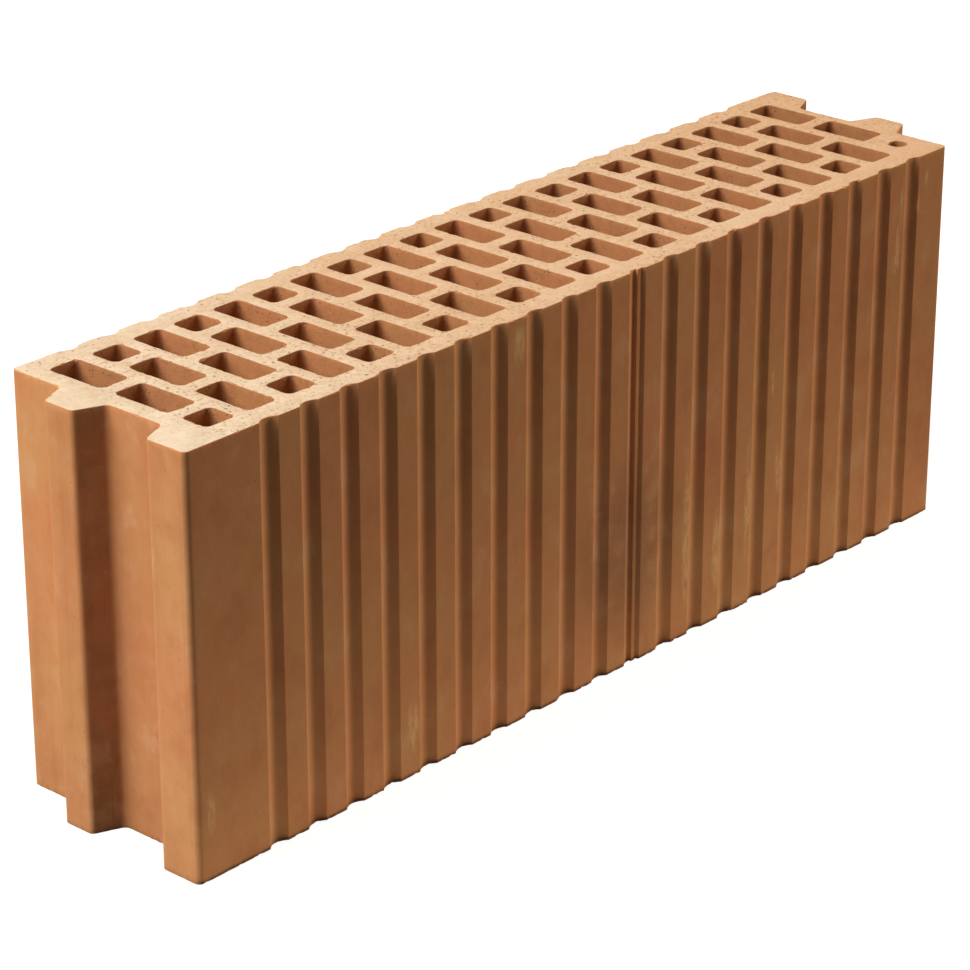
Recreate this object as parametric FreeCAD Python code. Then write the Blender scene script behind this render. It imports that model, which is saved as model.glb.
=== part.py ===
import FreeCAD, Part
import math
import os

# Hollow fired-clay wall block, pushed through a die as one column and cut to height.
# X runs along the wall, Y through its thickness and Z up, in millimetres.
# The origin is the middle of the underside.

# Block as it is laid
module = 500.0          # length of wall that one block covers
thickness = 115.0
height = 188.0          # a 200 course less its 12 bed joint

# Interlocking ends
tooth = 14.0            # how far a tongue or land stands out past the recess floor
tongue_middle = 14.0    # from the centre plane to the middle of the tongue
tongue_crest = 16.0     # flat tip of the tongue
tooth_flank = 6.0       # sideways run of each slanted side of a tooth
recess_play = 2.0       # recess floor over the width of the tongue's foot
tooth_round = 3.0
corner_round = 3.0      # the block's four upright corners

# Vertical perforation, staggered from row to row
wall = 12.0             # outer long walls, faces to holes
web = 7.3               # clay left between two holes, both ways
hole_width = 15.45      # along the wall, the same for every hole
short_hole = 14.5       # through the thickness
hole_round = 2.6
end_wall = 5.5          # least clay between a recess floor and an end row
round_hole = 8.5        # diameter of the one round hole at the far front corner

# Plaster-key grooves down both long faces
groove_pitch = 22.46
groove_width = 10.4     # a shallow round trough between two sharp edges
groove_depth = 2.0
plain_land = 23.0       # least smooth strip beside the first and last groove
mark_offset = 1.8       # flat rib in the trough of the marked groove near mid-length
mark_width = 2.6
mark_depth = 0.9        # top of that rib below the lands

pattern_shift = 2.0     # holes and grooves sit this far towards +X

# Worked out from the sizes above
recess_x = (module - tooth) / 2
crest_x = (module + tooth) / 2
face_y = thickness / 2
row_pitch = hole_width + web
row_count = int((2 * recess_x - 2 * end_wall + web) / row_pitch)
long_hole = (thickness - 2 * wall - 2 * web - short_hole) / 2
trough_radius = (groove_width ** 2 / 4 + groove_depth ** 2) / (2 * groove_depth)
groove_room = 2 * recess_x - 2 * plain_land - groove_width
groove_count = int(groove_room / groove_pitch) + 1
marked_groove = groove_count // 2


def corner_arc(before, corner, after, radius):
    """Start, middle and end of the arc that rounds one corner of an outline."""
    point = FreeCAD.Vector(corner[0], corner[1], 0)
    back = (FreeCAD.Vector(before[0], before[1], 0) - point).normalize()
    ahead = (FreeCAD.Vector(after[0], after[1], 0) - point).normalize()
    half_angle = back.getAngle(ahead) / 2
    reach = radius / math.tan(half_angle)
    inward = (back + ahead).normalize() * (radius / math.sin(half_angle) - radius)
    return point + back * reach, point + inward, point + ahead * reach


def rounded_wire(corners):
    """Closed wire through (x, y, radius) corners; radius 0 stays sharp.

    A corner whose radius is None is a point on an arc from the corner before to the one after.
    """
    arcs = []
    for i, corner in enumerate(corners):
        after = corners[(i + 1) % len(corners)]
        arcs.append(corner_arc(corners[i - 1], corner, after, corner[2] or 0))
    edges = []
    for i, (start, middle, end) in enumerate(arcs):
        if corners[i][2] is None:
            next_start = arcs[(i + 1) % len(arcs)][0]
            edges.append(Part.Arc(arcs[i - 1][2], middle, next_start).toShape())
            continue
        if corners[i - 1][2] is not None:
            edges.append(Part.LineSegment(arcs[i - 1][2], start).toShape())
        if corners[i][2] > 0:
            edges.append(Part.Arc(start, middle, end).toShape())
    return Part.Wire(edges)


def end_profile():
    """Near end from back to front: land, tongue, recess and standing land."""
    tip_back = tongue_middle + tongue_crest / 2
    tip_front = tongue_middle - tongue_crest / 2
    foot_back = tip_back + tooth_flank
    foot_front = tip_front - tooth_flank
    recess_front = foot_front - (foot_back - foot_front) - recess_play
    return [
        (-recess_x, face_y, corner_round),
        (-recess_x, foot_back, tooth_round),
        (-crest_x, tip_back, tooth_round),
        (-crest_x, tip_front, tooth_round),
        (-recess_x, foot_front, tooth_round),
        (-recess_x, recess_front, tooth_round),
        (-crest_x, recess_front - tooth_flank, tooth_round),
        (-crest_x, -face_y, corner_round),
    ]


def trough(offset):
    """Depth of the groove's round trough at an offset from its middle."""
    return math.sqrt(trough_radius ** 2 - offset ** 2) - trough_radius + groove_depth


def groove_corners(index):
    """One groove of the front face from -X to +X; the marked one has a flat rib."""
    half = groove_width / 2
    spots = [(-half, 0, 0), (0, groove_depth, None), (half, 0, 0)]
    if index == marked_groove:
        rib_near = mark_offset - mark_width / 2
        rib_far = mark_offset + mark_width / 2
        before = (rib_near - half) / 2
        after = (rib_far + half) / 2
        spots = [
            (-half, 0, 0),
            (before, trough(before), None),
            (rib_near, trough(rib_near), 0),
            (rib_near, mark_depth, 0),
            (rib_far, mark_depth, 0),
            (rib_far, trough(rib_far), 0),
            (after, trough(after), None),
            (half, 0, 0),
        ]
    middle = pattern_shift + (index - (groove_count - 1) / 2) * groove_pitch
    return [(middle + offset, depth - face_y, radius) for offset, depth, radius in spots]


def outline():
    """Plan of the block: the far end is the near end turned half round."""
    near_end = end_profile()
    far_end = [(-x, -y, radius) for x, y, radius in near_end]
    front = []
    for index in range(groove_count):
        front += groove_corners(index)
    rear = [(x, -y, radius) for x, y, radius in reversed(front)]
    return rounded_wire(near_end + front + far_end + rear)


def box_hole(x, y, length):
    """Rectangular perforation with rounded corners, its length through the thickness."""
    dx = hole_width / 2
    dy = length / 2
    signs = [(-1, -1), (1, -1), (1, 1), (-1, 1)]
    return rounded_wire([(x + sx * dx, y + sy * dy, hole_round) for sx, sy in signs])


def perforation():
    """All holes: two long and one short to a row, the short one changing sides."""
    outer_y = face_y - wall - long_hole / 2
    inner_y = outer_y - long_hole - web
    short_y = face_y - wall - short_hole / 2
    holes = []
    for row in range(row_count):
        x = pattern_shift + (row - (row_count - 1) / 2) * row_pitch
        side = 1 if row % 2 == 0 else -1
        holes.append(box_hole(x, side * outer_y, long_hole))
        holes.append(box_hole(x, side * inner_y, long_hole))
        if row == row_count - 1:
            spot = FreeCAD.Vector(x, -side * short_y, 0)
            holes.append(Part.Wire(Part.makeCircle(round_hole / 2, spot)))
        else:
            holes.append(box_hole(x, -side * short_y, short_hole))
    return holes


plan = Part.makeFace([outline()] + perforation(), "Part::FaceMakerBullseye")
clay_block = plan.extrude(FreeCAD.Vector(0, 0, height))

os.makedirs("parts", exist_ok=True)
clay_block.exportStep("parts/clay_block.step")
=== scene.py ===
import math

import bpy
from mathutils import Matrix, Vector


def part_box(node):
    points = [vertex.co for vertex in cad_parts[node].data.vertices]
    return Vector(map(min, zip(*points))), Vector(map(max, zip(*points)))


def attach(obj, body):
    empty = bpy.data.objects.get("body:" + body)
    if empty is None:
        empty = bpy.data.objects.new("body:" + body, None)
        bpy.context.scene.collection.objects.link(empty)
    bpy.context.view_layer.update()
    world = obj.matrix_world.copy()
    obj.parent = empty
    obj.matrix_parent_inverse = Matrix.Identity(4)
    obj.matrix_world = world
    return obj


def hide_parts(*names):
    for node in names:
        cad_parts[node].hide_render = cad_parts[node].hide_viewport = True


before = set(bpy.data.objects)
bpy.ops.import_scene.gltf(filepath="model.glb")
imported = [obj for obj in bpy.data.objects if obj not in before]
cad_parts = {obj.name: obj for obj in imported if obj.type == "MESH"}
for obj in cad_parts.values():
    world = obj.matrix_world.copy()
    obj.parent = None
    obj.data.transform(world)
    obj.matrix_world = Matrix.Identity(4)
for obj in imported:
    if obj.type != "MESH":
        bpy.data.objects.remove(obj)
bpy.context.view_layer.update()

# Clay block, plan
# The block is one piece of clay, pushed through a die that gives it toothed ends, grooved long
# faces and staggered holes. The plan's few corners are drawn here, and each kind of groove once.

MM = 0.001
low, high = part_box("clay_block")
length, thickness, height = high - low
crest_x = length / 2
face_y = thickness / 2

# Interlocking ends
tooth = 14 * MM
tongue_middle = 14 * MM
tongue_crest = 16 * MM
tooth_flank = 6 * MM
recess_play = 2 * MM
tooth_round = 3 * MM
corner_round = 3 * MM
recess_x = crest_x - tooth
tongue_half = tongue_crest / 2 + tooth_flank
tongue_foot = tongue_middle - tongue_half
recess_half = tongue_half + recess_play / 2

# Plaster-key grooves: round troughs, one of them marked by a flat rib
groove_count = 20
groove_pitch = 22.46 * MM
groove_width = 10.4 * MM
groove_depth = 2.0 * MM
groove_edge = groove_width / 2
trough_radius = (groove_edge ** 2 + groove_depth ** 2) / (2 * groove_depth)
near_lip = 0.6 * MM
far_lip = 0.3 * MM
mark_offset = 1.8 * MM
mark_width = 2.6 * MM
mark_depth = 0.9 * MM
mark_round = 0.3 * MM

# Holes
row_count = 21
outer_wall = 12 * MM
web = 7.3 * MM
hole_width = 15.45 * MM
short_hole = 14.5 * MM
hole_round = 2.6 * MM
round_hole = 8.5 * MM
row_pitch = hole_width + web
long_hole = (thickness - 2 * outer_wall - 2 * web - short_hole) / 2
pattern_shift = 2 * MM

# Wall section: worn edges, a ring below each bed that ends the chips, and rings in between
worn_edge = 0.2 * MM
rim_depth = 2.5 * MM
outer_rings = 5
hole_rings = 2


def wire(name, runs):
    """Open polylines of (x, y, round) corners; the rounding rides along as an attribute."""
    corners = []
    edges = []
    for run in runs:
        edges += [(i, i + 1) for i in range(len(corners), len(corners) + len(run) - 1)]
        corners += run
    mesh = bpy.data.meshes.new(name)
    mesh.from_pydata([(x, y, 0) for x, y, corner in corners], edges, [])
    rounds = mesh.attributes.new("round", "FLOAT", "POINT")
    rounds.data.foreach_set("value", [corner for x, y, corner in corners])
    piece = bpy.data.objects.new(name, mesh)
    bpy.context.collection.objects.link(piece)
    return piece


def end_corners():
    """Near end of the plan from back to front: land, tongue, recess and standing land."""
    recess_front = tongue_foot - 2 * recess_half
    return [
        (-recess_x, face_y, corner_round),
        (-recess_x, tongue_middle + tongue_half, tooth_round),
        (-crest_x, tongue_middle + tongue_crest / 2, tooth_round),
        (-crest_x, tongue_middle - tongue_crest / 2, tooth_round),
        (-recess_x, tongue_foot, tooth_round),
        (-recess_x, recess_front, tooth_round),
        (-crest_x, recess_front - tooth_flank, tooth_round),
        (-crest_x, -face_y, corner_round),
    ]


def trough_depth(offset):
    """Depth of the groove's round trough at an offset from its middle."""
    return math.sqrt(trough_radius ** 2 - offset ** 2) - trough_radius + groove_depth


def trough_corner(start, end):
    """Corner that the trough's own radius rounds into its arc between two offsets."""
    first = math.asin(start / trough_radius)
    last = math.asin(end / trough_radius)
    middle = (first + last) / 2
    reach = trough_radius / math.cos((last - first) / 2)
    centre_y = groove_depth - trough_radius
    return (reach * math.sin(middle), centre_y + reach * math.cos(middle), trough_radius)


def groove_run(inside):
    """One pitch of a long face: half a land, a groove with the given inside, half a land."""
    near_land = [(-groove_pitch / 2, 0, 0), (-groove_edge, 0, near_lip)]
    far_land = [(groove_edge, 0, far_lip), (groove_pitch / 2, 0, 0)]
    return near_land + inside + far_land


def wall_section(name, rings):
    """Upright section of a wall from bed to bed, with two worn edges; x is into the clay."""
    worn = [(worn_edge, 0), (0.3 * worn_edge, 0.3 * worn_edge), (0, worn_edge)]
    rise = (height - 2 * rim_depth) / rings
    levels = [(0, rim_depth + rise * i) for i in range(rings + 1)]
    top = [(x, height - z) for x, z in reversed(worn)]
    return wire(name, [[(x, -z, 0) for x, z in worn + levels + top]])


grooves_start = pattern_shift - groove_count * groove_pitch / 2
grooves_end = pattern_shift + groove_count * groove_pitch / 2
near_run = [(grooves_start, face_y, 0)] + end_corners() + [(grooves_start, -face_y, 0)]
turned_end = [(-x, -y, corner) for x, y, corner in end_corners()]
far_run = [(grooves_end, -face_y, 0)] + turned_end + [(grooves_end, face_y, 0)]
plan_ends = wire("plan_ends", [near_run, far_run])

rib_near = mark_offset - mark_width / 2
rib_far = mark_offset + mark_width / 2
mark_inside = [
    trough_corner(-groove_edge, rib_near),
    (rib_near, trough_depth(rib_near), mark_round),
    (rib_near, mark_depth, mark_round),
    (rib_far, mark_depth, mark_round),
    (rib_far, trough_depth(rib_far), mark_round),
    trough_corner(rib_far, groove_edge),
]
groove = wire("groove", [groove_run([trough_corner(-groove_edge, groove_edge)])])
mark = wire("marked_groove", [groove_run(mark_inside)])
outer_section = wall_section("outer_section", outer_rings)
hole_section = wall_section("hole_section", hole_rings)

# Clay block, finish
# Fired clay, orange-brown and matte. The walls keep the skin that slid along the die, with
# fine upright drag lines, ochre patches and pale rubs; the ground beds are pale and porous.

skin_orange = (0.68, 0.27, 0.105, 1)
skin_ochre = (0.66, 0.305, 0.11, 1)
skin_burnt_and_shade = (0.52, 0.19, 0.07, 1)
skin_smoked_and_shade = (0.29, 0.125, 0.052, 1)
skin_dust = (0.80, 0.49, 0.27, 1)
skin_rubbed = (0.92, 0.55, 0.25, 1)
bore_red = (0.48, 0.195, 0.08, 1)
bore_brown = (0.43, 0.19, 0.077, 1)
bed_cream = (0.83, 0.70, 0.532, 1)
bed_peach = (0.72, 0.47, 0.284, 1)
bed_far_shade = (0.64, 0.355, 0.18, 1)
bed_shade = (0.53, 0.315, 0.155, 1)
bed_light = (0.80, 0.70, 0.54, 1)
pore_brown = (0.30, 0.145, 0.06, 1)
iron_brown = (0.12, 0.05, 0.025, 1)
lime_white = (0.90, 0.78, 0.60, 1)

# Rubs on the lands of the front face: x, z, half width and half height, in millimetres
front_rubs = [
    (-249, 30, 3.0, 12),
    (-131, 24, 5.0, 16),
    (51, 50, 4.0, 48),
    (73, 34, 4.0, 26),
    (96, 52, 3.5, 42),
    (112, 106, 1.4, 10),
    (118, 62, 3.5, 16),
    (-64, 176, 5.0, 12),
    (208, 166, 1.8, 18),
    (206, 148, 2.2, 14),
    (205, 139, 4.0, 7),
    (221, 166, 1.8, 8),
    (227, 176, 2.0, 6),
]

# Part of the front that took more smoke in the kiln, in the same way
front_smoke = [
    (8, 58, 50, 60),
]


def add(tree, kind, inputs=None, **settings):
    """Adds a node; inputs maps socket names or numbers to plain values or to outputs."""
    made = tree.nodes.new(kind)
    for key, value in settings.items():
        setattr(made, key, value)
    for key, value in (inputs or {}).items():
        if isinstance(value, bpy.types.NodeSocket):
            tree.links.new(value, made.inputs[key])
        else:
            made.inputs[key].default_value = value
    return made


def maths(tree, operation, first, second=0.0, third=0.0):
    """One step of arithmetic."""
    inputs = {0: first, 1: second, 2: third}
    return add(tree, "ShaderNodeMath", inputs, operation=operation).outputs[0]


def times(tree, first, second):
    """Product of two values."""
    return maths(tree, "MULTIPLY", first, second)


def ramp(tree, value, start, end, low_value=0.0, high_value=1.0):
    """Smooth step from one value to another, as a value goes from start to end."""
    inputs = {
        "Value": value,
        "From Min": start,
        "From Max": end,
        "To Min": low_value,
        "To Max": high_value,
    }
    return add(tree, "ShaderNodeMapRange", inputs, interpolation_type="SMOOTHSTEP").outputs[0]


def tint(tree, share, under, over):
    """Lays one colour over another by a share."""
    inputs = {0: share, 6: under, 7: over}
    return add(tree, "ShaderNodeMix", inputs, data_type="RGBA").outputs[2]


def layered(tree, colour, layers):
    """Lays each (share, colour) over what lies before it."""
    for share, over in layers:
        colour = tint(tree, share, colour, over)
    return colour


def noise(tree, place, scale, detail, roughness):
    """Cloudy noise; scale is in cells per metre."""
    inputs = {"Vector": place, "Scale": scale, "Detail": detail, "Roughness": roughness}
    return add(tree, "ShaderNodeTexNoise", inputs).outputs["Fac"]


def grain(tree, place, scales, detail, roughness):
    """Noise drawn out along an axis; scales are in cells per metre along X, Y and Z."""
    drawn = add(tree, "ShaderNodeMapping", {"Vector": place, "Scale": scales}).outputs[0]
    return noise(tree, drawn, 1.0, detail, roughness)


def spots(tree, place, cell, radius, share):
    """Round spots of one radius in some of the cells of a loose grid; sizes in metres."""
    cells = add(tree, "ShaderNodeTexVoronoi", {"Vector": place, "Scale": 1 / cell})
    chance = add(tree, "ShaderNodeSeparateColor", {0: cells.outputs["Color"]}).outputs[0]
    chosen = maths(tree, "LESS_THAN", chance, share)
    core = ramp(tree, cells.outputs["Distance"], radius / cell, 0.35 * radius / cell)
    return times(tree, core, chosen)


def clay_body():
    """Shared look of the fired body: patches of tone, sandy grit, iron specks and lime."""
    group = bpy.data.node_groups.new("clay body", "ShaderNodeTree")
    group.interface.new_socket("Place", in_out="INPUT", socket_type="NodeSocketVector")
    for name in ("Patches", "Mottle", "Grit", "Iron", "Lime"):
        group.interface.new_socket(name, in_out="OUTPUT", socket_type="NodeSocketFloat")
    place = add(group, "NodeGroupInput").outputs["Place"]
    looks = {
        "Patches": ramp(group, noise(group, place, 16, 3, 0.55), 0.32, 0.68),
        "Mottle": ramp(group, noise(group, place, 120, 4, 0.6), 0.25, 0.75),
        "Grit": noise(group, place, 1300, 3, 0.65),
        "Iron": spots(group, place, 5.5 * MM, 0.45 * MM, 0.35),
        "Lime": spots(group, place, 7.5 * MM, 0.55 * MM, 0.35),
    }
    add(group, "NodeGroupOutput", looks)
    return group


body_group = clay_body()


def clay_material(name):
    """New material with the clay body's looks; gives its tree, place, looks and shader too."""
    material = bpy.data.materials.new(name)
    material.use_nodes = True
    tree = material.node_tree
    place = add(tree, "ShaderNodeTexCoord").outputs["Object"]
    body = add(tree, "ShaderNodeGroup", node_tree=body_group)
    tree.links.new(place, body.inputs["Place"])
    return material, tree, place, body.outputs, tree.nodes["Principled BSDF"]


def finish(tree, shader, colour, roughness, relief, depth):
    """Feeds the shader; depth is the relief's height in metres."""
    inputs = {"Height": relief, "Distance": depth, "Strength": 1.0}
    bump = add(tree, "ShaderNodeBump", inputs).outputs[0]
    tree.links.new(colour, shader.inputs["Base Color"])
    tree.links.new(roughness, shader.inputs["Roughness"])
    tree.links.new(bump, shader.inputs["Normal"])
    shader.inputs["Specular IOR Level"].default_value = 0.25


def front_ovals(tree, place, patches):
    """Soft upright ovals on the front face, from a list in millimetres."""
    cover = 0.0
    for x, z, wide, tall in patches:
        inputs = {
            "Vector": place,
            "Location": (-x / wide, 0, -z / tall),
            "Scale": (1 / (wide * MM), 0, 1 / (tall * MM)),
        }
        spot = add(tree, "ShaderNodeMapping", inputs).outputs[0]
        reach = add(tree, "ShaderNodeVectorMath", {0: spot}, operation="LENGTH").outputs["Value"]
        cover = maths(tree, "MAXIMUM", cover, ramp(tree, reach, 1.0, 0.25))
    y = add(tree, "ShaderNodeSeparateXYZ", {0: place}).outputs["Y"]
    return times(tree, cover, maths(tree, "LESS_THAN", y, 0.0))


def skin_material():
    """Outer skin as it left the die, fired, and rubbed pale on the lands, with painted shade in
    the end recesses and on the tongue flanks.
    """
    material, tree, place, body, shader = clay_material("fired_skin")
    drag = grain(tree, place, (260, 260, 5), 3, 0.6)
    fine_drag = grain(tree, place, (900, 900, 12), 2, 0.6)
    streak = grain(tree, place, (95, 95, 7), 2, 0.5)
    cloud = grain(tree, place, (50, 50, 34), 4, 0.6)
    smudge = grain(tree, place, (400, 400, 120), 5, 0.65)

    # Where on the block: lands and ends by the distance from the faces, then the end recesses
    axes = add(tree, "ShaderNodeSeparateXYZ", {0: place}).outputs
    to_face = maths(tree, "ABSOLUTE", axes["Y"])
    on_land = ramp(tree, to_face, face_y - 1.2 * MM, face_y - 0.4 * MM)
    on_ends = ramp(tree, to_face, face_y - 3.4 * MM, face_y - 4.4 * MM)
    across = times(tree, axes["Y"], maths(tree, "SIGN", axes["X"]))
    recess_middle = recess_half - tongue_foot
    off_middle = maths(tree, "ABSOLUTE", maths(tree, "SUBTRACT", across, recess_middle))
    depth = maths(tree, "SUBTRACT", crest_x, maths(tree, "ABSOLUTE", axes["X"]))
    recess_mouth = recess_half + tooth_flank
    recess_painted_shade = ramp(tree, off_middle, recess_mouth + 1 * MM, recess_half + 1 * MM)
    recess_painted_shade = times(tree, recess_painted_shade, ramp(tree, depth, 0.2 * tooth, tooth))
    past_foot = ramp(tree, off_middle, recess_half - 0.5 * MM, recess_half + 1.5 * MM)
    in_mouth = ramp(tree, off_middle, recess_mouth + 1 * MM, recess_mouth - 1 * MM)
    flank_painted_shade = times(tree, past_foot, in_mouth)
    flank_painted_shade = times(tree, flank_painted_shade, ramp(tree, depth, 0.0, 0.15 * tooth))

    # What marks it: burnt streaks and drag lines, kiln smoke, and rubs
    streaks = times(tree, ramp(tree, streak, 0.42, 0.72), ramp(tree, on_ends, 0, 1, 0.12, 0.34))
    drag_lines = times(tree, ramp(tree, drag, 0.45, 0.75), ramp(tree, on_ends, 0, 1, 0.06, 0.18))
    smoke = front_ovals(tree, place, front_smoke)
    smoke = times(tree, smoke, ramp(tree, cloud, 0.3, 0.6, 0.42, 0.70))
    loose_rubs = times(tree, ramp(tree, smudge, 0.64, 0.74), 0.30)
    firm_rubs = front_ovals(tree, place, front_rubs)
    firm_rubs = times(tree, firm_rubs, ramp(tree, smudge, 0.44, 0.57, 0.22, 0.85))
    rubs = times(tree, maths(tree, "MAXIMUM", loose_rubs, firm_rubs), on_land)

    colour = layered(tree, skin_orange, [
        (body["Patches"], skin_ochre),
        (streaks, skin_burnt_and_shade),
        (drag_lines, skin_burnt_and_shade),
        # painted shade: the end recesses are darkened where the tongue shades them and less light
        # reaches
        (times(tree, recess_painted_shade, 0.45), skin_burnt_and_shade),
        # painted shade: the tongue's front flank is darkened where the key light does not reach it
        (times(tree, flank_painted_shade, 0.75), skin_smoked_and_shade),
        (smoke, skin_smoked_and_shade),
        (ramp(tree, cloud, 0.50, 0.68, 0.0, 0.42), skin_burnt_and_shade),
        (ramp(tree, cloud, 0.46, 0.32, 0.0, 0.24), skin_dust),
        (times(tree, body["Mottle"], 0.16), skin_dust),
        (rubs, skin_rubbed),
        (times(tree, body["Iron"], 0.40), iron_brown),
        (times(tree, body["Lime"], 0.25), lime_white),
    ])
    rough = ramp(tree, body["Mottle"], 0.0, 1.0, 0.74, 0.90)
    relief = maths(tree, "MULTIPLY_ADD", fine_drag, 0.5, drag)
    relief = times(tree, relief, ramp(tree, on_ends, 0.0, 1.0, 0.12, 0.5))
    relief = maths(tree, "MULTIPLY_ADD", body["Grit"], 0.25, relief)
    relief = maths(tree, "MULTIPLY_ADD", body["Iron"], -0.3, relief)
    finish(tree, shader, colour, rough, relief, 0.35 * MM)
    return material


def bore_material():
    """Walls of the holes: never rubbed, redder and duller, darkest towards the far end."""
    material, tree, place, body, shader = clay_material("fired_bore")
    x = add(tree, "ShaderNodeSeparateXYZ", {0: place}).outputs["X"]
    drag = grain(tree, place, (300, 300, 6), 2, 0.6)
    speckle = noise(tree, place, 420, 3, 0.7)
    pits = spots(tree, place, 2.6 * MM, 0.55 * MM, 0.3)
    colour = layered(tree, bore_red, [
        (body["Patches"], bore_brown),
        (ramp(tree, x, -0.05, 0.22, 0.0, 0.35), skin_smoked_and_shade),
        (times(tree, ramp(tree, drag, 0.5, 0.8), 0.25), skin_smoked_and_shade),
        (times(tree, body["Mottle"], 0.25), skin_ochre),
        (ramp(tree, speckle, 0.50, 0.70, 0.0, 0.40), skin_smoked_and_shade),
        (times(tree, pits, 0.25), iron_brown),
    ])
    rough = ramp(tree, body["Mottle"], 0.0, 1.0, 0.80, 0.92)
    relief = maths(tree, "MULTIPLY_ADD", body["Grit"], 0.6, times(tree, drag, 0.4))
    relief = maths(tree, "MULTIPLY_ADD", pits, -0.6, relief)
    finish(tree, shader, colour, rough, relief, 0.5 * MM)
    return material


def bed_material():
    """Bed faces after grinding: gritty and open-pored, closest at the near end, with painted shade
    that leaves them palest at the near end and darker towards the far end.
    """
    material, tree, place, body, shader = clay_material("ground_bed")
    x = add(tree, "ShaderNodeSeparateXYZ", {0: place}).outputs["X"]
    open_grain = ramp(tree, noise(tree, place, 14, 2, 0.5), 0.30, 0.55, 0.3, 1.0)
    open_grain = times(tree, open_grain, ramp(tree, x, -0.25, -0.22, 0.25, 1.0))
    speckle = ramp(tree, noise(tree, place, 420, 3, 0.7), 0.50, 0.68, 0.0, 0.90)
    pores = times(tree, spots(tree, place, 3.0 * MM, 0.75 * MM, 0.42), open_grain)
    pinholes = times(tree, spots(tree, place, 1.6 * MM, 0.45 * MM, 0.45), open_grain)
    grains = spots(tree, place, 2.3 * MM, 0.8 * MM, 0.5)
    grinding = grain(tree, place, (40, 700, 40), 2, 0.6)
    # painted shade: the bed is darkened towards the far end, where less light falls
    far_painted_shade = ramp(tree, x, -0.27, -0.03, 0.0, 0.8)
    colour = layered(tree, bed_cream, [
        (maths(tree, "MULTIPLY_ADD", body["Patches"], 0.2, far_painted_shade), bed_peach),
        (ramp(tree, x, 0.08, 0.26, 0.0, 0.5), bed_far_shade),
        (ramp(tree, body["Grit"], 0.40, 0.75, 0.0, 0.30), bed_light),
        (times(tree, body["Mottle"], 0.30), bed_shade),
        (times(tree, grains, 0.30), bed_light),
        (times(tree, speckle, open_grain), bed_shade),
        (times(tree, pinholes, 0.50), pore_brown),
        (times(tree, pores, 0.75), pore_brown),
        (times(tree, body["Iron"], 0.40), iron_brown),
    ])
    rough = ramp(tree, body["Grit"], 0.2, 0.8, 0.80, 0.95)
    relief = maths(tree, "MULTIPLY_ADD", body["Grit"], 0.5, times(tree, grinding, 0.15))
    relief = maths(tree, "MULTIPLY_ADD", pinholes, -0.5, relief)
    relief = maths(tree, "MULTIPLY_ADD", pores, -1.0, relief)
    finish(tree, shader, colour, rough, relief, 0.5 * MM)
    return material


fired_skin = skin_material()
fired_bore = bore_material()
ground_bed = bed_material()

# Clay block, body
# The plan's grooves and holes repeat along the wall, the walls rise from it in one sweep, and
# the two beds close them. The rims are crumbled by seeded chips, as grinding leaves them.

corner_step = 0.9 * MM
chip_scale = 320.0
waver_scale = 18.0
crisp_angle = math.radians(28)
block_sizes = {
    "Height": ("Float", height),
    "Face": ("Float", face_y),
    "Pattern Shift": ("Float", pattern_shift),
    "Groove Count": ("Int", groove_count),
    "Groove Pitch": ("Float", groove_pitch),
    "Row Count": ("Int", row_count),
    "Row Pitch": ("Float", row_pitch),
    "Outer Wall": ("Float", outer_wall),
    "Web": ("Float", web),
    "Hole Width": ("Float", hole_width),
    "Long Hole": ("Float", long_hole),
    "Short Hole": ("Float", short_hole),
    "Hole Round": ("Float", hole_round),
    "Round Hole": ("Float", round_hole),
    "Worn Edge": ("Float", worn_edge),
    "Chip": ("Float", 1.1 * MM),
    "Waver": ("Float", 0.35 * MM),
    "Point Step": ("Float", 1.4 * MM),
    "Seed": ("Float", 7.0),
    "Groove": ("Object", groove),
    "Marked Groove": ("Object", mark),
    "Outer Section": ("Object", outer_section),
    "Hole Section": ("Object", hole_section),
    "Skin": ("Material", fired_skin),
    "Bore": ("Material", fired_bore),
    "Bed": ("Material", ground_bed),
}


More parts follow.
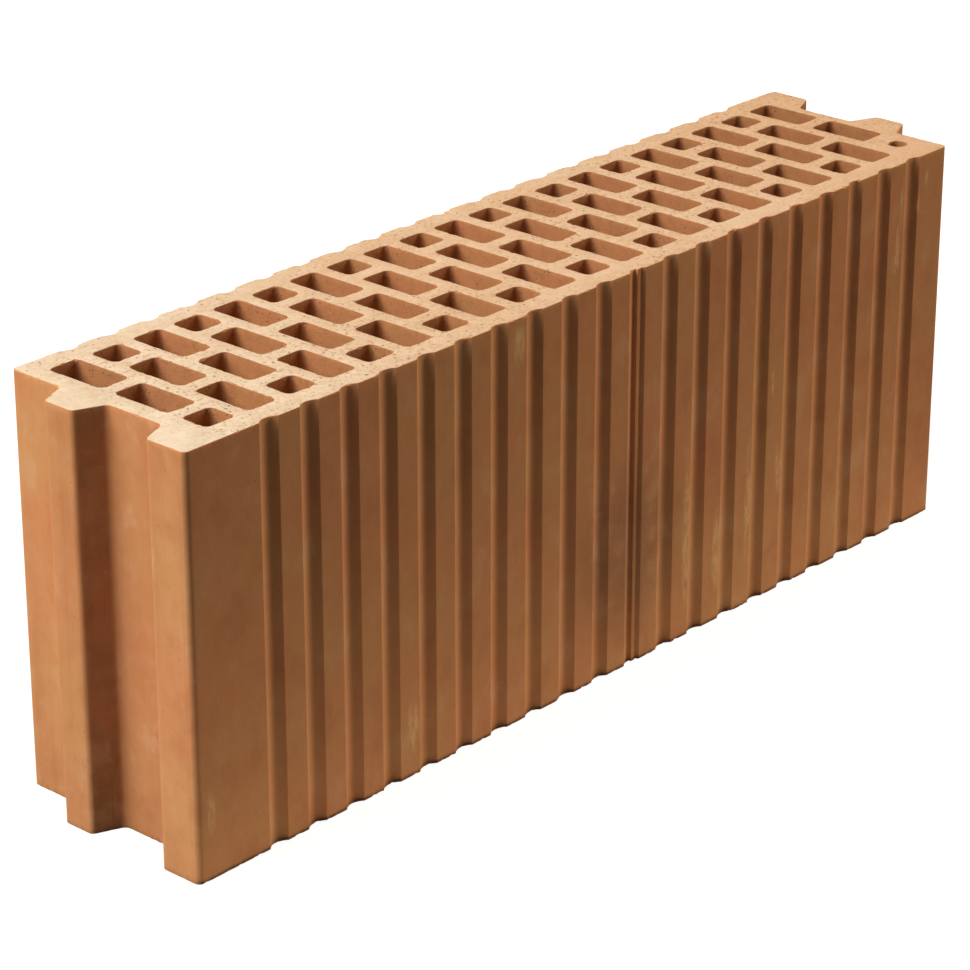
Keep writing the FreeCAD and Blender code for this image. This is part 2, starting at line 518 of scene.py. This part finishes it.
def block_tree():
    """Node tree that sweeps the block from its plan."""
    tree = bpy.data.node_groups.new("swept clay block", "GeometryNodeTree")
    tree.interface.new_socket("Plan Ends", in_out="INPUT", socket_type="NodeSocketGeometry")
    for name, (kind, value) in block_sizes.items():
        tree.interface.new_socket(name, in_out="INPUT", socket_type="NodeSocket" + kind)
    tree.interface.new_socket("Block", in_out="OUTPUT", socket_type="NodeSocketGeometry")
    size = add(tree, "NodeGroupInput").outputs
    index = add(tree, "GeometryNodeInputIndex").outputs[0]
    place = add(tree, "GeometryNodeInputPosition").outputs[0]

    def vector(x=0.0, y=0.0, z=0.0):
        return add(tree, "ShaderNodeCombineXYZ", {0: x, 1: y, 2: z}).outputs[0]

    def level():
        """Height above the floor."""
        return add(tree, "ShaderNodeSeparateXYZ", {0: place}).outputs["Z"]

    def joined(*parts):
        join = add(tree, "GeometryNodeJoinGeometry")
        for part in parts:
            tree.links.new(part, join.inputs[0])
        return join.outputs[0]

    def one_of_row(number):
        """Selections of one point in a row, and of all the others."""
        inputs = {2: index, 3: number}
        compare = add(tree, "FunctionNodeCompare", inputs, data_type="INT", operation="EQUAL")
        one = compare.outputs[0]
        return one, add(tree, "FunctionNodeBooleanMath", {0: one}, operation="NOT").outputs[0]

    def row(count, pitch, y=0.0):
        """Points along the wall at a pitch, about the middle of the pattern."""
        back_by = times(tree, maths(tree, "SUBTRACT", count, 1.0), -0.5)
        start = maths(tree, "MULTIPLY_ADD", back_by, pitch, size["Pattern Shift"])
        inputs = {"Count": count, "Start Location": vector(start, y), "Offset": vector(pitch)}
        return add(tree, "GeometryNodeMeshLine", inputs, mode="OFFSET").outputs[0]

    def placed(points, shape, chosen=True):
        """A copy of a shape at each chosen point."""
        inputs = {"Points": points, "Instance": shape, "Selection": chosen}
        copies = add(tree, "GeometryNodeInstanceOnPoints", inputs).outputs[0]
        return add(tree, "GeometryNodeRealizeInstances", {0: copies}).outputs[0]

    def drawn(name):
        """Shape of one of the wires drawn in the plan."""
        return add(tree, "GeometryNodeObjectInfo", {"Object": size[name]}).outputs["Geometry"]

    def rounded(curve, radius):
        """Rounds each corner of a curve; the larger the rounding, the more points it gets."""
        points = maths(tree, "MULTIPLY_ADD", radius, 1 / corner_step, 4.0)
        inputs = {"Curve": curve, "Count": points, "Radius": radius, "Limit Radius": True}
        return add(tree, "GeometryNodeFilletCurve", inputs, mode="POLY").outputs[0]

    def outline():
        """Both ends and both grooved faces as one closed curve."""
        front_y = times(tree, size["Face"], -1.0)
        points = row(size["Groove Count"], size["Groove Pitch"], front_y)
        half_way = maths(tree, "FLOOR", maths(tree, "DIVIDE", size["Groove Count"], 2.0))
        marked, plain = one_of_row(half_way)
        plain_grooves = placed(points, drawn("Groove"), plain)
        front = joined(plain_grooves, placed(points, drawn("Marked Groove"), marked))
        inputs = {"Geometry": front, "Scale": (1, -1, 1)}
        rear = add(tree, "GeometryNodeTransform", inputs).outputs[0]
        inputs = {"Geometry": joined(size["Plan Ends"], front, rear), "Distance": 0.01 * MM}
        edges = add(tree, "GeometryNodeMergeByDistance", inputs).outputs[0]
        curve = add(tree, "GeometryNodeMeshToCurve", {"Mesh": edges}).outputs[0]
        inputs = {"Name": "round"}
        radius = add(tree, "GeometryNodeInputNamedAttribute", inputs, data_type="FLOAT").outputs[0]
        return rounded(curve, radius)

    def holes():
        """Two long holes and a short one in each row; the short one changes sides.

        In the last row a round hole takes the place of the short one.
        """
        points = row(size["Row Count"], size["Row Pitch"])
        side = maths(tree, "MULTIPLY_ADD", maths(tree, "MODULO", index, 2.0), -2.0, 1.0)
        inner_face = maths(tree, "SUBTRACT", size["Face"], size["Outer Wall"])
        outer_y = maths(tree, "MULTIPLY_ADD", size["Long Hole"], -0.5, inner_face)
        pitch_y = maths(tree, "ADD", size["Long Hole"], size["Web"])
        inner_y = maths(tree, "SUBTRACT", outer_y, pitch_y)
        opposite_face = times(tree, inner_face, -1.0)
        short_y = maths(tree, "MULTIPLY_ADD", size["Short Hole"], 0.5, opposite_face)

        def lane(shape, y, chosen=True):
            inputs = {"Geometry": points, "Offset": vector(0.0, times(tree, side, y))}
            moved = add(tree, "GeometryNodeSetPosition", inputs).outputs[0]
            return placed(moved, shape, chosen)

        def box_hole(depth):
            inputs = {"Width": size["Hole Width"], "Height": depth}
            box = add(tree, "GeometryNodeCurvePrimitiveQuadrilateral", inputs, mode="RECTANGLE")
            return rounded(box.outputs[0], size["Hole Round"])

        long_box = box_hole(size["Long Hole"])
        inputs = {"Resolution": 32, "Radius": times(tree, size["Round Hole"], 0.5)}
        ring = add(tree, "GeometryNodeCurvePrimitiveCircle", inputs).outputs[0]
        last, others = one_of_row(maths(tree, "SUBTRACT", size["Row Count"], 1.0))
        return joined(
            lane(long_box, outer_y),
            lane(long_box, inner_y),
            lane(box_hole(size["Short Hole"]), short_y, others),
            lane(ring, short_y, last),
        )

    def refined(curve):
        """Adds points to a curve's longer edges, so that chips and waver have points to move."""
        next_point = add(tree, "GeometryNodeOffsetPointInCurve", {"Offset": 1})
        inputs = {"Index": next_point.outputs["Point Index"], "Value": place}
        ahead = add(tree, "GeometryNodeFieldAtIndex", inputs, data_type="FLOAT_VECTOR").outputs[0]
        inputs = {0: place, 1: ahead}
        gap = add(tree, "ShaderNodeVectorMath", inputs, operation="DISTANCE").outputs["Value"]
        inputs = {0: maths(tree, "DIVIDE", gap, size["Point Step"])}
        cuts = add(tree, "FunctionNodeFloatToInt", inputs, rounding_mode="FLOOR").outputs[0]
        return add(tree, "GeometryNodeSubdivideCurve", {"Curve": curve, "Cuts": cuts}).outputs[0]

    def seeded(scale, roughness):
        inputs = {
            "Vector": place,
            "W": size["Seed"],
            "Scale": scale,
            "Detail": 2.0,
            "Roughness": roughness,
        }
        return add(tree, "ShaderNodeTexNoise", inputs, noise_dimensions="4D").outputs[0]

    def walls(curve, section, swell):
        """Sweeps an upright section round closed curves, then wavers it and chips its rims.

        Swell is the share of the waver that may stand proud of the curve.
        """
        inputs = {"Geometry": refined(curve)}
        kept = add(tree, "GeometryNodeCaptureAttribute", inputs, domain="POINT")
        kept.capture_items.new("VECTOR", "into_clay")
        tree.links.new(add(tree, "GeometryNodeInputNormal").outputs[0], kept.inputs[1])
        into_clay = kept.outputs[1]
        profile = add(tree, "GeometryNodeMeshToCurve", {"Mesh": drawn(section)}).outputs[0]
        inputs = {"Curve": kept.outputs[0], "Profile Curve": profile}
        swept = add(tree, "GeometryNodeCurveToMesh", inputs).outputs[0]

        up = level()
        to_top = maths(tree, "SUBTRACT", size["Height"], up)
        from_bed = maths(tree, "MINIMUM", up, to_top)
        from_bed = maths(tree, "DIVIDE", from_bed, size["Worn Edge"])
        below_rim = maths(tree, "MINIMUM", from_bed, 1.0)
        at_rim = maths(tree, "SUBTRACT", 1.0, below_rim)
        below_rim = times(tree, maths(tree, "LESS_THAN", from_bed, 1.5), below_rim)
        chip = times(tree, ramp(tree, seeded(chip_scale, 0.6), 0.50, 0.80), size["Chip"])
        drift = maths(tree, "SUBTRACT", seeded(waver_scale, 0.5), swell)
        inward = maths(tree, "MULTIPLY_ADD", chip, at_rim, times(tree, drift, size["Waver"]))
        from_nearest_bed = maths(tree, "SIGN", maths(tree, "SUBTRACT", to_top, up))
        along = times(tree, times(tree, chip, below_rim), from_nearest_bed)
        inputs = {0: into_clay, "Scale": inward}
        sideways = add(tree, "ShaderNodeVectorMath", inputs, operation="SCALE").outputs[0]
        inputs = {0: sideways, 1: vector(0.0, 0.0, along)}
        shift = add(tree, "ShaderNodeVectorMath", inputs).outputs[0]
        inputs = {"Geometry": swept, "Offset": shift}
        return add(tree, "GeometryNodeSetPosition", inputs).outputs[0]

    def bed(shell, upper):
        """Closes one end of the walls between the outline and the holes."""
        middle = times(tree, size["Height"], 0.5)
        on_side = maths(tree, "GREATER_THAN" if upper else "LESS_THAN", level(), middle)
        faces = add(tree, "GeometryNodeInputMeshEdgeNeighbors").outputs[0]
        chosen = times(tree, on_side, maths(tree, "LESS_THAN", faces, 1.5))
        inputs = {"Mesh": shell, "Selection": chosen}
        rims = add(tree, "GeometryNodeMeshToCurve", inputs).outputs[0]
        sheet = add(tree, "GeometryNodeFillCurve", {"Curve": rims}, mode="TRIANGLES").outputs[0]
        if not upper:
            return add(tree, "GeometryNodeFlipFaces", {"Mesh": sheet}).outputs[0]
        inputs = {"Geometry": sheet, "Translation": vector(0.0, 0.0, size["Height"])}
        return add(tree, "GeometryNodeTransform", inputs).outputs[0]

    def coated(part, name):
        inputs = {"Geometry": part, "Material": size[name]}
        return add(tree, "GeometryNodeSetMaterial", inputs).outputs[0]

    def shaded(part):
        """Smooth faces that meet in a crisp line along the edges."""
        smooth = add(tree, "GeometryNodeSetShadeSmooth", {"Geometry": part}, domain="FACE")
        turn = add(tree, "GeometryNodeInputMeshEdgeAngle").outputs[0]
        inputs = {
            "Geometry": smooth.outputs[0],
            "Selection": maths(tree, "GREATER_THAN", turn, crisp_angle),
            "Shade Smooth": False,
        }
        return add(tree, "GeometryNodeSetShadeSmooth", inputs, domain="EDGE").outputs[0]

    skin = coated(walls(outline(), "Outer Section", 0.0), "Skin")
    bores = coated(walls(holes(), "Hole Section", 0.6), "Bore")
    shell = joined(skin, bores)
    beds = coated(joined(bed(shell, True), bed(shell, False)), "Bed")
    whole = add(tree, "GeometryNodeRealizeInstances", {0: joined(shell, beds)}).outputs[0]
    inputs = {"Geometry": whole, "Distance": 0.002 * MM}
    closed = add(tree, "GeometryNodeMergeByDistance", inputs).outputs[0]
    inputs = {"Geometry": closed, "Name": "round"}
    bare = add(tree, "GeometryNodeRemoveAttribute", inputs).outputs[0]
    add(tree, "NodeGroupOutput", {"Block": shaded(bare)})
    return tree


sweep_tree = block_tree()
sweep = plan_ends.modifiers.new("sweep", "NODES")
sweep.node_group = sweep_tree
for item in sweep_tree.interface.items_tree:
    if item.in_out == "INPUT" and item.name in block_sizes:
        sweep[item.identifier] = block_sizes[item.name][1]
swept_plan = plan_ends.evaluated_get(bpy.context.evaluated_depsgraph_get())
block_mesh = bpy.data.meshes.new_from_object(swept_plan)
block_mesh.name = "clay_block_body"
plan_ends.modifiers.remove(sweep)
for helper in (plan_ends, groove, mark, outer_section, hole_section):
    bpy.data.objects.remove(helper)
block = bpy.data.objects.new("clay_block_body", block_mesh)
bpy.context.collection.objects.link(block)
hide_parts("clay_block")
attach(block, "root")

# Floor and backdrop
# A wide pale sheet, white where nothing shades it and unlit under the block, so that the holes
# look deep. The world behind it is white to the camera and a dim even light to the block.

floor_half = 6.0
floor_seen = (0.24, 0.24, 0.24, 1)
floor_bounce = (0.04, 0.04, 0.04, 1)
floor_glow = 0.89
white = (1, 1, 1, 1)
floor_corners = [
    (-floor_half, -floor_half, 0),
    (floor_half, -floor_half, 0),
    (floor_half, floor_half, 0),
    (-floor_half, floor_half, 0),
]
floor_mesh = bpy.data.meshes.new("floor")
floor_mesh.from_pydata(floor_corners, [], [(0, 1, 2, 3)])
floor = bpy.data.objects.new("floor", floor_mesh)
bpy.context.collection.objects.link(floor)
paper = bpy.data.materials.new("pale_paper")
paper.use_nodes = True
sheet = paper.node_tree
paper_shader = sheet.nodes["Principled BSDF"]
paper_shader.inputs["Roughness"].default_value = 0.9
paper_shader.inputs["Emission Color"].default_value = white
seen = add(sheet, "ShaderNodeLightPath").outputs["Is Camera Ray"]
paper_colour = tint(sheet, seen, floor_bounce, floor_seen)
sheet.links.new(paper_colour, paper_shader.inputs["Base Color"])
paper_place = add(sheet, "ShaderNodeTexCoord").outputs["Object"]
paper_axes = add(sheet, "ShaderNodeSeparateXYZ", {0: paper_place}).outputs
past_end = maths(sheet, "ABSOLUTE", paper_axes["X"])
past_end = maths(sheet, "GREATER_THAN", past_end, recess_x - outer_wall / 2)
past_face = maths(sheet, "ABSOLUTE", paper_axes["Y"])
past_face = maths(sheet, "GREATER_THAN", past_face, face_y - outer_wall / 2)
glow = times(sheet, maths(sheet, "MAXIMUM", past_end, past_face), floor_glow)
sheet.links.new(times(sheet, glow, seen), paper_shader.inputs["Emission Strength"])
floor_mesh.materials.append(paper)

ambient = 0.02
world = bpy.data.worlds.new("studio")
bpy.context.scene.world = world
world.use_nodes = True
sky = world.node_tree
path = add(sky, "ShaderNodeLightPath").outputs
shown = maths(sky, "MAXIMUM", path["Is Camera Ray"], path["Is Glossy Ray"])
shown = maths(sky, "MAXIMUM", shown, path["Is Transmission Ray"])
sky_level = ramp(sky, shown, 0.0, 1.0, ambient, 1.0)
sky.nodes["Background"].inputs["Color"].default_value = white
sky.links.new(sky_level, sky.nodes["Background"].inputs["Strength"])

# Lights
# A large soft key from the left and a little behind lights the top and the near end. A tall
# narrow fill grazes the front from the right, and a low card lifts the foot of the front.


def area_light(name, across, tall, watts, colour):
    """Rectangular light, not yet placed."""
    data = bpy.data.lights.new(name, "AREA")
    data.shape = "RECTANGLE"
    data.size = across
    data.size_y = tall
    data.energy = watts
    data.color = colour
    light = bpy.data.objects.new(name, data)
    bpy.context.collection.objects.link(light)
    return light


def aim(light, azimuth, elevation, distance):
    """Turns a light to the block's middle; azimuth 0 is in front, 90 at +X."""
    turn = math.radians(azimuth)
    lift = math.radians(elevation)
    level_reach = math.cos(lift)
    away = Vector((math.sin(turn) * level_reach, -math.cos(turn) * level_reach, math.sin(lift)))
    light.location = Vector((0, 0, height / 2)) + away * distance
    light.rotation_euler = away.to_track_quat("Z", "Y").to_euler()


key = area_light("key", 2.1, 2.1, 132, (1.0, 0.97, 0.93))
aim(key, -115, 42, 3.2)
fill = area_light("fill", 0.45, 1.8, 43, (1.0, 0.84, 0.67))
aim(fill, 65, 38, 2.6)

card_level = 0.48
card_depth = 120 * MM
card_length = length + 120 * MM
card_gap = 0.5 * MM
card_shift = -60 * MM
card_lift = 1 * MM
card_watts = card_level * math.pi * card_length * card_depth
card = area_light("card", card_length, card_depth, card_watts, (1.0, 0.86, 0.72))
card.location = (card_shift, -face_y - card_gap - card_depth / 2, card_lift)
card.rotation_euler = (math.pi, 0, 0)
card.visible_camera = False

# Camera
# A long lens at the photograph's height and angle, without shift.

camera_place = Vector((-1118, -980, 722)) * MM
camera_turn = math.radians(48.21)
camera_dip = math.radians(23.52)
sensor = 36.0
focal_pixels = 3605
frame_pixels = 970
camera_data = bpy.data.cameras.new("camera")
camera_data.sensor_width = sensor
camera_data.lens = focal_pixels / frame_pixels * sensor
camera = bpy.data.objects.new("camera", camera_data)
camera.location = camera_place
camera.rotation_euler = (math.pi / 2 - camera_dip, 0, -camera_turn)
bpy.context.collection.objects.link(camera)
bpy.context.scene.camera = camera
bpy.context.scene.view_settings.view_transform = "Standard"
